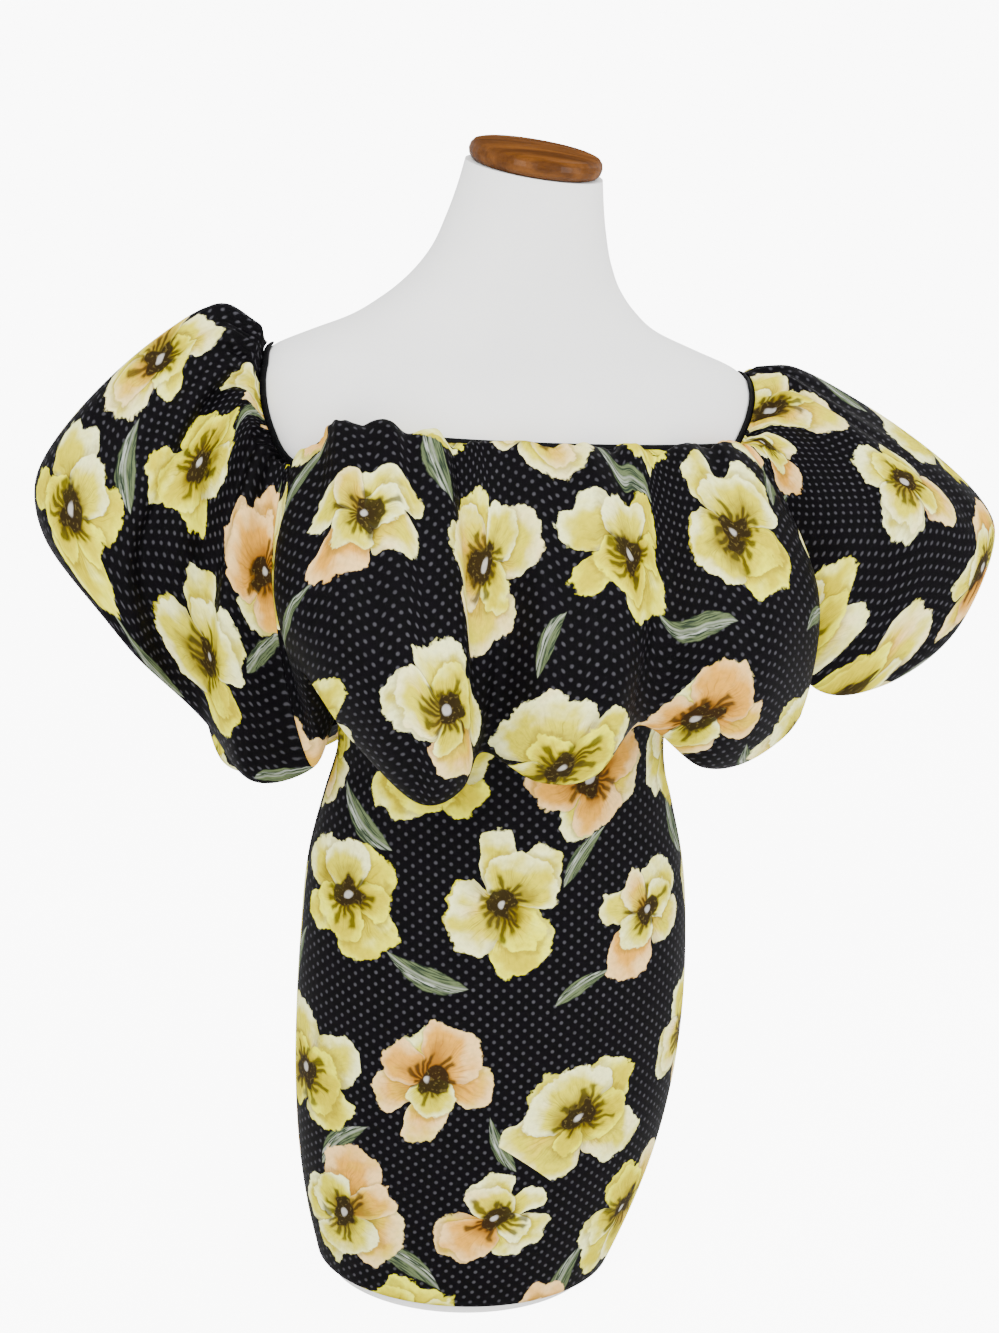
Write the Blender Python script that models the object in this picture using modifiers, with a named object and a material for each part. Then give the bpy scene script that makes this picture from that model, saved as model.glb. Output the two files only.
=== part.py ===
"""Off-shoulder dress with a puffed flounce, on a limbless dress form.

The form is a smooth loft through level sections, closed by a turned wooden neck cap.
The dress is a close-fitting front and back, an elastic casing round the neckline, and
a puffed flounce whose edge turns under: front, back, the left sleeve and the right
sleeve, which stands in two halves that meet over the shoulder.
Metres, +Z up, the front towards -Y, left and right as seen from the front.
The origin is the centre of the form's flat underside.
"""

import math
from collections import namedtuple

import bpy
import numpy as np
from mathutils import Vector

MM = 0.001

# Cloth
WALL = 2.0 * MM
SEAM_GAP = 0.3 * MM
BODY_GAP = 1.0 * MM
HEM_HEIGHT = 15.0 * MM
SIDE_TOP_HEIGHT = 705.0 * MM
SIDE_DIP_FROM = math.radians(40.0)
SIDE_DIP_TO = math.radians(16.0)

# Elastic casing round the neckline
CASING_WIDTH = 8.0 * MM
CASING_WALL = 2.0 * MM
CASING_SEAM_GAP = 0.8 * MM

# Flounce and sleeves
FLOUNCE_LIFT = BODY_GAP + CASING_WALL + SEAM_GAP + WALL
TURN_UNDER_RISE = 20.0 * MM
TURN_UNDER_SLOPE = 0.35
GATHER_DEPTH = 2.4 * MM
RING_STEPS = 4
ROWS_NECK_TO_CREST = 3
ROWS_CREST_TO_BELLY = 5
ROWS_BELLY_TO_FOLD = 5
ROWS_FOLD_TO_EDGE = 3

# Form
FORM_COLUMNS = 48
NECK_TILT_FRONT = math.radians(9.0)
NECK_TILT_SIDE = math.radians(4.0)
NECK_TILT_FROM = 0.86
NECK_TOP_HEIGHT = 0.962
PANEL_TOP_ROWS = 4

# Neck cap
CAP_RADIUS = 53.5 * MM
CAP_THICKNESS = 19.0 * MM
CAP_EDGE_RADIUS = 6.5 * MM
CAP_DOME = 3.0 * MM
CAP_STEPS = 36

# Level sections of the form, in mm: height, half width, front depth, back depth,
# how far its middle stands to the right, and the ease of the cloth over it
BODY = (
    (0, 121, 96, 94, 3, 5.0),
    (12, 126, 100, 99, 4, 4.0),
    (55, 142, 107, 108, 7, 1.6),
    (105, 155, 111, 115, 10, 0.6),
    (180, 166, 113, 123, 13, 0.0),
    (250, 169, 112, 127, 14, 0.0),
    (320, 166.5, 108, 123, 13, 0.2),
    (390, 159, 102, 112, 10, 0.6),
    (440, 147, 98, 101, 8, 0.6),
    (480, 137.5, 96, 94, 7, 0.2),
    (540, 140, 102, 94, 4, 0.0),
    (605, 148, 117, 96, 1, 0.0),
    (650, 157, 124, 99, 0, 0.0),
    (690, 172, 121, 101, -1, 0.0),
    (720, 191, 113, 100, -2, 0.0),
    (750, 204, 104, 98, -3, 0.0),
    (780, 208, 94, 94, -5, 0.0),
    (800, 202, 84, 88, -8, 0.0),
    (815, 187, 75, 82, -11, 0.0),
    (827, 158, 67, 76, -14, 0.0),
    (840, 126, 61, 71, -15, 0.0),
    (856, 103, 57, 67, -13, 0.0),
    (872, 87, 54, 63, -10, 0.0),
    (892, 74, 52, 58, -6, 0.0),
    (920, 64, 50, 54, -3, 0.0),
    (945, 58, 49, 51, -1, 0.0),
    (962, 55, 48.5, 50, 0, 0.0),
)

# Sections of the flounce, round from the centre back by the left to the right, in mm.
# Each starts on the neckline at an angle and a height, rises to a crest that lies so
# far out and up, swells to its belly and turns under at its fold, from which its edge
# lies so far across
Section = namedtuple(
    "Section",
    "name neck_angle neck_height crest_out crest_up "
    "belly_x belly_y belly_z fold_x fold_y fold_z turn_x turn_y",
)
SECTIONS = (
    Section("back_dip", -180, 772, 20, 8, 0, 160, 615, 0, 150, 515, 0, -30),
    Section("back_left_lobe", -160, 770, 26, 12, -72, 195, 605, -72, 180, 462, 4, -45),
    Section("back_left_dip", -143, 768, 20, 8, -130, 166, 605, -128, 142, 440, 10, -32),
    Section("side_left_lobe", -130, 768, 26, 12, -228, 132, 590, -222, 92, 440, 10, -45),
    Section("back_left_turn", -118, 774, 20, 10, -246, 104, 640, -246, 78, 505, 9, -34),
    Section("sleeve_left_back", -109, 792, 30, 16, -300, 92, 690, -288, 70, 588, 12, -30),
    Section("sleeve_left_heel", -101, 812, 38, 18, -350, 55, 705, -332, 42, 615, 28, -25),
    Section("sleeve_left_edge", -90, 817, 46, 23, -380, -5, 706, -358, -8, 640, 42, 2),
    Section("sleeve_left_toe", -79, 807, 38, 16, -362, -56, 680, -328, -56, 612, 37, 27),
    Section("sleeve_left_front", -76, 785, 28, 10, -309, -80, 660, -300, -63, 574, 3, 34),
    Section("left_crease", -74, 762, 18, 5, -256, -62, 650, -245, -22, 510, 8, 13),
    Section("left_small_lobe", -72, 745, 18, 5, -236, -81, 617, -209, -66, 476, 14, 25),
    Section("left_armhole", -68, 736, 12, 0, -200, -78, 642, -160, -62, 486, 14, 21),
    Section("front_left_edge", -60, 740, 20, 10, -202, -146, 640, -176, -128, 582, 24, 17),
    Section("front_left_lobe", -48, 752, 26, 20, -165, -200, 628, -142, -158, 538, 22, 34),
    Section("front_left_low", -34, 756, 26, 16, -108, -222, 610, -92, -182, 497, 8, 44),
    Section("front_left_inner", -23, 757, 20, 8, -64, -200, 605, -60, -172, 505, -14, 28),
    Section("centre_dip", -14, 757, 14, 3, -38, -172, 606, -39, -138, 524, 1, 14),
    Section("centre_lobe", -3, 757, 20, 6, -4, -204, 608, -2, -178, 513, 12, 30),
    Section("centre_right", 10, 757, 20, 6, 45, -215, 612, 42, -170, 514, -12, 33),
    Section("diagonal_fold", 22, 757, 16, 4, 84, -186, 628, 82, -146, 550, -6, 19),
    Section("front_right_lobe", 34, 757, 20, 8, 140, -196, 625, 140, -140, 513, -10, 35),
    Section("front_right_low", 44, 757, 20, 8, 196, -168, 640, 200, -112, 518, -17, 32),
    Section("right_edge", 52, 757, 16, 6, 226, -120, 664, 232, -102, 555, -17, -15),
    Section("right_crease", 56, 762, 10, 0, 206, -76, 680, 215, -70, 597, -11, 2),
    Section("sleeve_right_front", 60, 777, 20, 6, 258, -88, 690, 260, -64, 556, -7, 20),
    Section("sleeve_right_toe", 68, 795, 28, 8, 328, -84, 700, 320, -58, 560, -6, 33),
    Section("sleeve_right_outer", 77, 807, 40, 6, 394, -52, 695, 380, -42, 598, -22, 31),
    Section("sleeve_right_edge", 90, 818, 52, 4, 426, 0, 692, 402, 0, 628, -42, -6),
    Section("sleeve_right_heel", 101, 810, 40, 8, 388, 55, 705, 368, 42, 614, -23, -31),
    Section("sleeve_right_back", 109, 792, 26, 12, 318, 90, 692, 305, 72, 588, -9, -31),
    Section("back_right_turn", 118, 776, 20, 10, 246, 102, 645, 244, 78, 525, -14, -37),
    Section("side_right_lobe", 130, 768, 26, 12, 205, 145, 605, 200, 112, 480, -31, -51),
    Section("back_right_dip", 143, 768, 20, 8, 135, 165, 615, 130, 148, 505, -14, -26),
    Section("back_right_lobe", 160, 770, 26, 12, 70, 196, 605, 72, 182, 480, -1, -45),
)

# Flounce pieces, each from one section to another
PIECES = (
    ("sleeve_left", "back_left_turn", "left_armhole"),
    ("flounce_front", "left_armhole", "right_crease"),
    ("sleeve_right_front", "right_crease", "sleeve_right_edge"),
    ("sleeve_right_back", "sleeve_right_edge", "back_right_turn"),
    ("flounce_back", "back_right_turn", "back_left_turn"),
)
CASINGS = (
    ("neckline_casing_front", "sleeve_left_edge", "sleeve_right_edge"),
    ("neckline_casing_back", "sleeve_right_edge", "sleeve_left_edge"),
)


def clear_scene():
    for item in list(bpy.data.objects):
        bpy.data.objects.remove(item, do_unlink=True)


def material(name, colour, roughness):
    made = bpy.data.materials.new(name)
    made.use_nodes = True
    shader = made.node_tree.nodes["Principled BSDF"]
    shader.inputs["Base Color"].default_value = (*colour, 1.0)
    shader.inputs["Roughness"].default_value = roughness
    shader.inputs["Metallic"].default_value = 0.0
    made.diffuse_color = (*colour, 1.0)
    return made


def place(name, mesh, finish, collection):
    mesh.materials.append(finish)
    mesh.shade_smooth()
    mesh.set_sharp_from_angle(angle=math.radians(40.0))
    item = bpy.data.objects.new(name, mesh)
    collection.objects.link(item)
    return item


def smooth_between(rows, knots, at, period=None):
    """Cubic curve through rows at their knots, sloped at each as its neighbours lie."""
    rows = np.asarray(rows, float)
    knots = np.asarray(knots, float)
    if period is not None:
        rows = np.concatenate([rows[-3:], rows, rows[:4]])
        knots = np.concatenate([knots[-3:] - period, knots, knots[:4] + period])
    slopes = np.gradient(rows, knots, axis=0)
    cell = np.clip(np.searchsorted(knots, at, side="right") - 1, 0, len(knots) - 2)
    span = (knots[cell + 1] - knots[cell])[:, None]
    t = (np.asarray(at, float) - knots[cell])[:, None] / span
    start = rows[cell] * (1 + 2 * t) * (1 - t) ** 2 + slopes[cell] * span * t * (1 - t) ** 2
    end = rows[cell + 1] * t**2 * (3 - 2 * t) - slopes[cell + 1] * span * t**2 * (1 - t)
    return start + end


def smooth_step(value):
    held = np.clip(value, 0.0, 1.0)
    return held * held * (3 - 2 * held)


BODY_TABLE = np.array(BODY, float) * MM


def body_sizes(height):
    """Half width, front depth, back depth, shift of the middle and ease at each height."""
    flat = np.ravel(height)
    sizes = smooth_between(BODY_TABLE[:, 1:], BODY_TABLE[:, 0], flat)
    return sizes.reshape(np.shape(height) + (5,))


def body_point(angle, height, out=0.0):
    """Point of the form's level ellipse, moved out along the surface's normal."""
    angle, height = np.broadcast_arrays(np.asarray(angle, float), np.asarray(height, float))
    sizes = body_sizes(height)
    step = 0.5 * MM
    slope = (body_sizes(height + step) - body_sizes(height - step)) / (2 * step)
    across, along = np.sin(angle), np.cos(angle)
    width = sizes[..., 0]
    depth = np.where(along > 0, sizes[..., 1], sizes[..., 2])
    depth_slope = np.where(along > 0, slope[..., 1], slope[..., 2])
    point = np.stack([sizes[..., 3] + width * across, -depth * along, height], -1)
    lean = width * depth_slope * along**2 + depth * slope[..., 0] * across**2
    lean += depth * slope[..., 3] * across
    normal = np.stack([depth * across, -width * along, -lean], -1)
    normal /= np.linalg.norm(normal, axis=-1, keepdims=True)
    return point + normal * np.asarray(out)[..., None]


def body_normal(angle, height):
    return body_point(angle, height, 1.0) - body_point(angle, height, 0.0)


def grid_faces(columns, rows, first=0, turned=False):
    """Triangles over a grid of points stored column by column, all cut the same way."""
    column, row = np.meshgrid(np.arange(columns - 1), np.arange(rows - 1), indexing="ij")
    corner = first + (column * rows + row).ravel()
    below, beside, across = corner + 1, corner + rows, corner + rows + 1
    halves = [np.stack([corner, below, across], -1), np.stack([corner, across, beside], -1)]
    faces = np.concatenate(halves)
    return faces[:, ::-1] if turned else faces


def rim_faces(outer, inner, turned=False):
    """Triangles that close the wall between two matching runs of points."""
    halves = [
        np.stack([outer[:-1], outer[1:], inner[1:]], -1),
        np.stack([outer[:-1], inner[1:], inner[:-1]], -1),
    ]
    faces = np.concatenate(halves)
    return faces[:, ::-1] if turned else faces


def cloth_wall(name, outer, inner):
    """Closed wall between two lofted surfaces, each a grid of columns from top to edge."""
    columns, rows = outer.shape[:2]
    count = columns * rows
    index = np.arange(count).reshape(columns, rows)
    rims = [
        rim_faces(index[:, 0], index[:, 0] + count),
        rim_faces(index[:, -1], index[:, -1] + count, True),
        rim_faces(index[0], index[0] + count, True),
        rim_faces(index[-1], index[-1] + count),
    ]
    faces = []
    for group in (grid_faces(columns, rows), grid_faces(columns, rows, count, True), *rims):
        faces += group.tolist()
    mesh = bpy.data.meshes.new(name)
    points = np.concatenate([outer.reshape(-1, 3), inner.reshape(-1, 3)])
    mesh.from_pydata(points.tolist(), [], faces)
    return mesh


def level_way(vectors):
    """Level direction of each vector, one long."""
    level = vectors * (1, 1, 0)
    return level / np.linalg.norm(level, axis=-1, keepdims=True)


def ring_controls():
    """Neck, crest, belly, fold and turned edge of every section, and its place round."""
    angle = np.radians([s.neck_angle for s in SECTIONS])
    height = np.array([s.neck_height for s in SECTIONS]) * MM
    neck = body_point(angle, height, FLOUNCE_LIFT)
    belly = np.array([(s.belly_x, s.belly_y, s.belly_z) for s in SECTIONS]) * MM
    fold = np.array([(s.fold_x, s.fold_y, s.fold_z) for s in SECTIONS]) * MM
    heading = level_way(belly - neck)
    out = np.array([s.crest_out for s in SECTIONS])[:, None] * MM
    rise = np.array([s.crest_up for s in SECTIONS]) * MM
    crest = neck + heading * out
    crest[:, 2] += rise
    turn = np.array([(s.turn_x, s.turn_y) for s in SECTIONS]) * MM
    rise = TURN_UNDER_RISE + TURN_UNDER_SLOPE * np.linalg.norm(turn, axis=1)
    edge = fold + np.column_stack([turn, rise])
    controls = np.stack([crest, belly, fold, edge], 1)
    spread = np.linalg.norm(np.roll(belly, -1, 0) - belly, axis=1)
    knots = np.concatenate([[0.0], np.cumsum(spread)])
    return angle, height, controls, knots


def ring_places(knots, steps):
    """Places round the flounce, the same number of steps from each section to the next."""
    parts = [np.linspace(a, b, steps, endpoint=False) for a, b in zip(knots[:-1], knots[1:])]
    return np.concatenate(parts)


def neckline(angle, height, knots, at):
    """Angle and height of the neckline round the form."""
    turn = np.stack([np.cos(angle), np.sin(angle), height], -1)
    found = smooth_between(turn, knots[:-1], at, knots[-1])
    return np.arctan2(found[:, 1], found[:, 0]), found[:, 2]


def gather_wave(count, steps):
    """Uneven wave round the neckline, one gather for each section."""
    place_round = np.arange(count) / steps
    uneven = 0.75 + 0.25 * np.sin(2.4 * place_round + 0.7)
    return uneven * np.sin(2 * math.pi * place_round)


def grid_normals(grid):
    """Outward normals of a surface that closes on itself round the form."""
    round_way = np.roll(grid, -1, 0) - np.roll(grid, 1, 0)
    down_way = np.gradient(grid, axis=1)
    normal = np.cross(down_way, round_way)
    return normal / np.linalg.norm(normal, axis=-1, keepdims=True)


def flounce_surface():
    """Whole flounce as a closed ring of profiles, from the neckline to the turned edge."""
    angle, height, controls, knots = ring_controls()
    at = ring_places(knots, RING_STEPS)
    neck_angle, neck_height = neckline(angle, height, knots, at)
    neck = body_point(neck_angle, neck_height, FLOUNCE_LIFT)
    flat = smooth_between(controls.reshape(len(SECTIONS), -1), knots[:-1], at, knots[-1])
    through = np.concatenate([neck[:, None], flat.reshape(len(at), 4, 3)], 1)
    counts = (ROWS_NECK_TO_CREST, ROWS_CREST_TO_BELLY, ROWS_BELLY_TO_FOLD, ROWS_FOLD_TO_EDGE)
    share = np.concatenate(
        [k + np.arange(n) / n for k, n in enumerate(counts)] + [np.array([float(len(counts))])]
    )
    grid = np.empty((len(at), len(share), 3))
    for column, points in enumerate(through):
        spans = np.sqrt(np.linalg.norm(np.diff(points, axis=0), axis=1))
        marks = np.concatenate([[0.0], np.cumsum(spans)])
        grid[column] = smooth_between(points, marks, np.interp(share, np.arange(5), marks))
    fade = smooth_step((1.6 - share) / 1.2) * smooth_step(2 * share)
    wave = gather_wave(len(at), RING_STEPS) * GATHER_DEPTH
    return grid + grid_normals(grid) * (wave[:, None] * fade)[..., None], neck_angle, neck_height


def columns_between(start, end, total):
    """Column numbers from one named section on to another, round the ring."""
    names = [s.name for s in SECTIONS]
    first = names.index(start) * RING_STEPS
    last = names.index(end) * RING_STEPS
    if last <= first:
        last += total
    return np.arange(first, last + 1) % total


def part_at_seams(ring, columns):
    """Columns of a closed ring, the two end ones drawn in by half of the seam gap."""
    drawn = ring[columns]
    for end, side in ((0, 1), (-1, -1)):
        column = columns[end]
        way = ring[(column + 1) % len(ring)] - ring[column - 1]
        way /= np.linalg.norm(way, axis=-1, keepdims=True)
        drawn[end] += way * side * SEAM_GAP / 2
    return drawn


def make_flounce(surface, finish, collection):
    normals = grid_normals(surface)
    for name, start, end in PIECES:
        columns = columns_between(start, end, len(surface))
        outer = part_at_seams(surface, columns)
        inner = outer - normals[columns] * WALL
        place(name, cloth_wall(name, outer, inner), finish, collection)


def make_casings(neck_angle, neck_height, finish, collection):
    """Elastic casing: a strip on the form's surface along the neckline."""
    centre = body_point(neck_angle, neck_height)
    normal = body_normal(neck_angle, neck_height)
    along = np.roll(centre, -1, 0) - np.roll(centre, 1, 0)
    along /= np.linalg.norm(along, axis=1, keepdims=True)
    down = np.cross(along, normal)
    half = CASING_WIDTH / 2
    strip = np.stack([centre - down * half, centre + down * half], 1)
    for name, start, end in CASINGS:
        columns = columns_between(start, end, len(strip))
        base = part_at_seams(strip, columns)
        away = normal[columns][:, None]
        outer = base + away * (BODY_GAP + CASING_WALL)
        inner = base + away * BODY_GAP
        place(name, cloth_wall(name, outer, inner), finish, collection)


def panel_top(angle, neck_angle, neck_height):
    """Height of the fitted panels' top edge: under the casing, and low under the arms."""
    order = np.argsort(neck_angle)
    edge = np.interp(angle, neck_angle[order], neck_height[order], period=2 * math.pi)
    under_casing = edge - CASING_WIDTH / 2 - CASING_SEAM_GAP
    from_side = np.abs(np.abs(angle) - math.pi / 2)
    dip = smooth_step((SIDE_DIP_FROM - from_side) / (SIDE_DIP_FROM - SIDE_DIP_TO))
    return under_casing + (SIDE_TOP_HEIGHT - under_casing) * dip


def panel_heights(top):
    """Rows of a panel: a few down from its top edge, then those of the form, then the hem."""
    levels = BODY_TABLE[::-1, 0]
    levels = levels[(levels > 2 * HEM_HEIGHT) & (levels < SIDE_TOP_HEIGHT)]
    share = np.arange(PANEL_TOP_ROWS) / PANEL_TOP_ROWS
    upper = top[:, None] + (levels[0] - top[:, None]) * share
    lower = np.broadcast_to(np.append(levels, HEM_HEIGHT), (len(top), len(levels) + 1))
    return np.concatenate([upper, lower], 1)


def make_panels(neck_angle, neck_height, finish, collection):
    """Front and back of the fitted dress, each from side seam to side seam."""
    quarter = math.pi / 2
    inset = SEAM_GAP / 2 / (BODY_TABLE[:, 1].min())
    for name, middle in (("dress_front", 0.0), ("dress_back", math.pi)):
        turn = np.linspace(-quarter, quarter, FORM_COLUMNS // 2 + 1)
        turn[0] += inset
        turn[-1] -= inset
        angle = turn + middle
        wrapped = np.arctan2(np.sin(angle), np.cos(angle))
        top = panel_top(wrapped, neck_angle, neck_height)
        height = panel_heights(top)
        around = np.broadcast_to(angle[:, None], height.shape)
        ease = body_sizes(height)[..., 4]
        outer = body_point(around, height, BODY_GAP + ease + WALL)
        inner = body_point(around, height, BODY_GAP + ease)
        place(name, cloth_wall(name, outer, inner), finish, collection)


def tilt_neck(points):
    """Slopes the neck's top towards the front and the right."""
    share = smooth_step((points[..., 2] - NECK_TILT_FROM) / (NECK_TOP_HEIGHT - NECK_TILT_FROM))
    lean = points[..., 1] * math.tan(NECK_TILT_FRONT) - points[..., 0] * math.tan(NECK_TILT_SIDE)
    tilted = points.copy()
    tilted[..., 2] += share * lean
    return tilted


def make_form(finish, collection):
    """Limbless form: a loft through its level sections with a flat foot and neck top."""
    angle = np.linspace(-math.pi, math.pi, FORM_COLUMNS, endpoint=False)
    points = tilt_neck(body_point(angle[None, :], BODY_TABLE[:, :1]))
    points[0, :, 2] = 0.0
    rows, columns = points.shape[:2]
    index = np.arange(rows * columns).reshape(rows, columns)
    lower, upper = index[:-1], index[1:]
    quads = np.stack(
        [lower, np.roll(lower, -1, 1), np.roll(upper, -1, 1), upper], -1
    ).reshape(-1, 4)
    faces = quads.tolist() + [index[0, ::-1].tolist(), index[-1].tolist()]
    mesh = bpy.data.meshes.new("form_body")
    mesh.from_pydata(points.reshape(-1, 3).tolist(), [], faces)
    place("form_body", mesh, finish, collection)


def make_cap(finish, collection):
    """Turned wooden cap: a flat underside, a rounded edge and a low dome."""
    radius, thick, edge = CAP_RADIUS, CAP_THICKNESS, CAP_EDGE_RADIUS
    dome = [(radius - edge) * k / 2 for k in range(3)]
    profile = [(r, thick - CAP_DOME * (r / (radius - edge)) ** 2) for r in dome]
    for k in range(1, 7):
        turn = math.radians(90.0 - 30.0 * k)
        middle = (thick - CAP_DOME) / 2
        profile.append((radius - edge + edge * math.cos(turn), middle * (1 + math.sin(turn))))
    profile.append((0.0, 0.0))
    mesh = bpy.data.meshes.new("form_neck_cap")
    runs = [(k, k + 1) for k in range(len(profile) - 1)]
    mesh.from_pydata([(r, 0.0, z) for r, z in profile], runs, [])
    cap = place("form_neck_cap", mesh, finish, collection)
    turned = cap.modifiers.new("Turned", "SCREW")
    turned.steps = turned.render_steps = CAP_STEPS
    turned.use_merge_vertices = True
    turned.merge_threshold = 0.00001
    turned.use_smooth_shade = True
    normal = Vector((math.tan(NECK_TILT_SIDE), -math.tan(NECK_TILT_FRONT), 1.0)).normalized()
    neck = body_sizes(np.array(NECK_TOP_HEIGHT))
    middle_y = float(neck[2] - neck[1]) / 2
    seat = Vector((0.0, middle_y, NECK_TOP_HEIGHT + middle_y * math.tan(NECK_TILT_FRONT)))
    cap.rotation_mode = "QUATERNION"
    cap.rotation_quaternion = Vector((0.0, 0.0, 1.0)).rotation_difference(normal)
    cap.location = seat + normal * SEAM_GAP


def main():
    clear_scene()
    collection = bpy.data.collections.new("off_shoulder_dress")
    bpy.context.scene.collection.children.link(collection)
    cloth = material("printed_cloth", (0.022, 0.021, 0.026), 0.72)
    elastic = material("neckline_elastic", (0.016, 0.015, 0.018), 0.80)
    cover = material("form_cover", (0.80, 0.79, 0.77), 0.85)
    wood = material("varnished_wood", (0.42, 0.17, 0.05), 0.30)
    surface, neck_angle, neck_height = flounce_surface()
    make_form(cover, collection)
    make_cap(wood, collection)
    make_panels(neck_angle, neck_height, cloth, collection)
    make_casings(neck_angle, neck_height, elastic, collection)
    make_flounce(surface, cloth, collection)


main()
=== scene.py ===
"""Looks of an off-shoulder dress with a puffed flounce, on a limbless dress form.

The cloth pieces are the sections of the part's source at a finer step, with the small
gathers and creases of real cloth laid over them. A print of pin dots, flowers and leaves
follows each piece's own flat cut. Metres, +Z up, the front towards -Y.
"""

import math
from collections import namedtuple

import bpy
import numpy as np
from mathutils import Matrix, Vector


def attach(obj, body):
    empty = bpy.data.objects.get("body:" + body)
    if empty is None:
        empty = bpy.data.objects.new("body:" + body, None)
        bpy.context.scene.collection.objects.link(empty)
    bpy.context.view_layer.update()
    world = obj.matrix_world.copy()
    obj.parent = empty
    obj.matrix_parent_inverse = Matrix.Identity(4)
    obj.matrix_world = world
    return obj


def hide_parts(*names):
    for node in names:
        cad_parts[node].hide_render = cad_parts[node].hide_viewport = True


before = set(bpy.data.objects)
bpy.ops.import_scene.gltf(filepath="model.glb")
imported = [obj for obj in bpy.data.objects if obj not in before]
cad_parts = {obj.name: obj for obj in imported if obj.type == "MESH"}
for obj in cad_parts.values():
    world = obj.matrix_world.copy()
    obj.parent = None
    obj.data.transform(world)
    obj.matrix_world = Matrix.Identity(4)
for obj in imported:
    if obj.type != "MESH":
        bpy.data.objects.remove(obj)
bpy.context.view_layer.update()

MM = 0.001

# Cloth and casing, as in the solids
WALL = 2.0 * MM
CLOTH_THICKNESS = 1.0 * MM
SEAM_GAP = 0.3 * MM
BODY_GAP = 1.0 * MM
HEM_HEIGHT = 15.0 * MM
SIDE_TOP_HEIGHT = 705.0 * MM
SIDE_DIP_FROM = math.radians(40.0)
SIDE_DIP_TO = math.radians(16.0)
CASING_WIDTH = 8.0 * MM
CASING_WALL = 2.0 * MM
CASING_SEAM_GAP = 0.8 * MM
CASING_RUCHE_PITCH = 8.5 * MM
CASING_RUCHE = 0.12
FLOUNCE_GAP = 0.4 * MM
FLOUNCE_LIFT = BODY_GAP + CASING_WALL + FLOUNCE_GAP + CLOTH_THICKNESS
TURN_UNDER_RISE = 20.0 * MM
TURN_UNDER_SLOPE = 0.35

# Steps of the finer surfaces
RING_STEPS = 24
ROWS_IN_SPANS = (18, 30, 36, 16)
BELLY_ROW = ROWS_IN_SPANS[0] + ROWS_IN_SPANS[1]
PANEL_COLUMNS = 140
PANEL_ROWS = 200
CASING_ROWS = 9
FORM_COLUMNS = 160
FORM_ROWS = 200

# Level sections of the form, in mm: height, half width, front depth, back depth, how far
# the section's middle stands to the right, and the ease of the cloth over it
BODY = (
    (0, 121, 96, 94, 3, 5.0),
    (12, 126, 100, 99, 4, 4.0),
    (55, 142, 107, 108, 7, 1.6),
    (105, 155, 111, 115, 10, 0.6),
    (180, 166, 113, 123, 13, 0.0),
    (250, 169, 112, 127, 14, 0.0),
    (320, 166.5, 108, 123, 13, 0.2),
    (390, 159, 102, 112, 10, 0.6),
    (440, 147, 98, 101, 8, 0.6),
    (480, 137.5, 96, 94, 7, 0.2),
    (540, 140, 102, 94, 4, 0.0),
    (605, 148, 117, 96, 1, 0.0),
    (650, 157, 124, 99, 0, 0.0),
    (690, 172, 121, 101, -1, 0.0),
    (720, 191, 113, 100, -2, 0.0),
    (750, 204, 104, 98, -3, 0.0),
    (780, 208, 94, 94, -5, 0.0),
    (800, 202, 84, 88, -8, 0.0),
    (815, 187, 75, 82, -11, 0.0),
    (827, 158, 67, 76, -14, 0.0),
    (840, 126, 61, 71, -15, 0.0),
    (856, 103, 57, 67, -13, 0.0),
    (872, 87, 54, 63, -10, 0.0),
    (892, 74, 52, 58, -6, 0.0),
    (920, 64, 50, 54, -3, 0.0),
    (945, 58, 49, 51, -1, 0.0),
    (962, 55, 48.5, 50, 0, 0.0),
)
BODY_TABLE = np.array(BODY, float) * MM
NECK_TILT_FRONT = math.radians(9.0)
NECK_TILT_SIDE = math.radians(4.0)
NECK_TILT_FROM = 860.0 * MM
NECK_TOP_HEIGHT = 962.0 * MM

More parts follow.
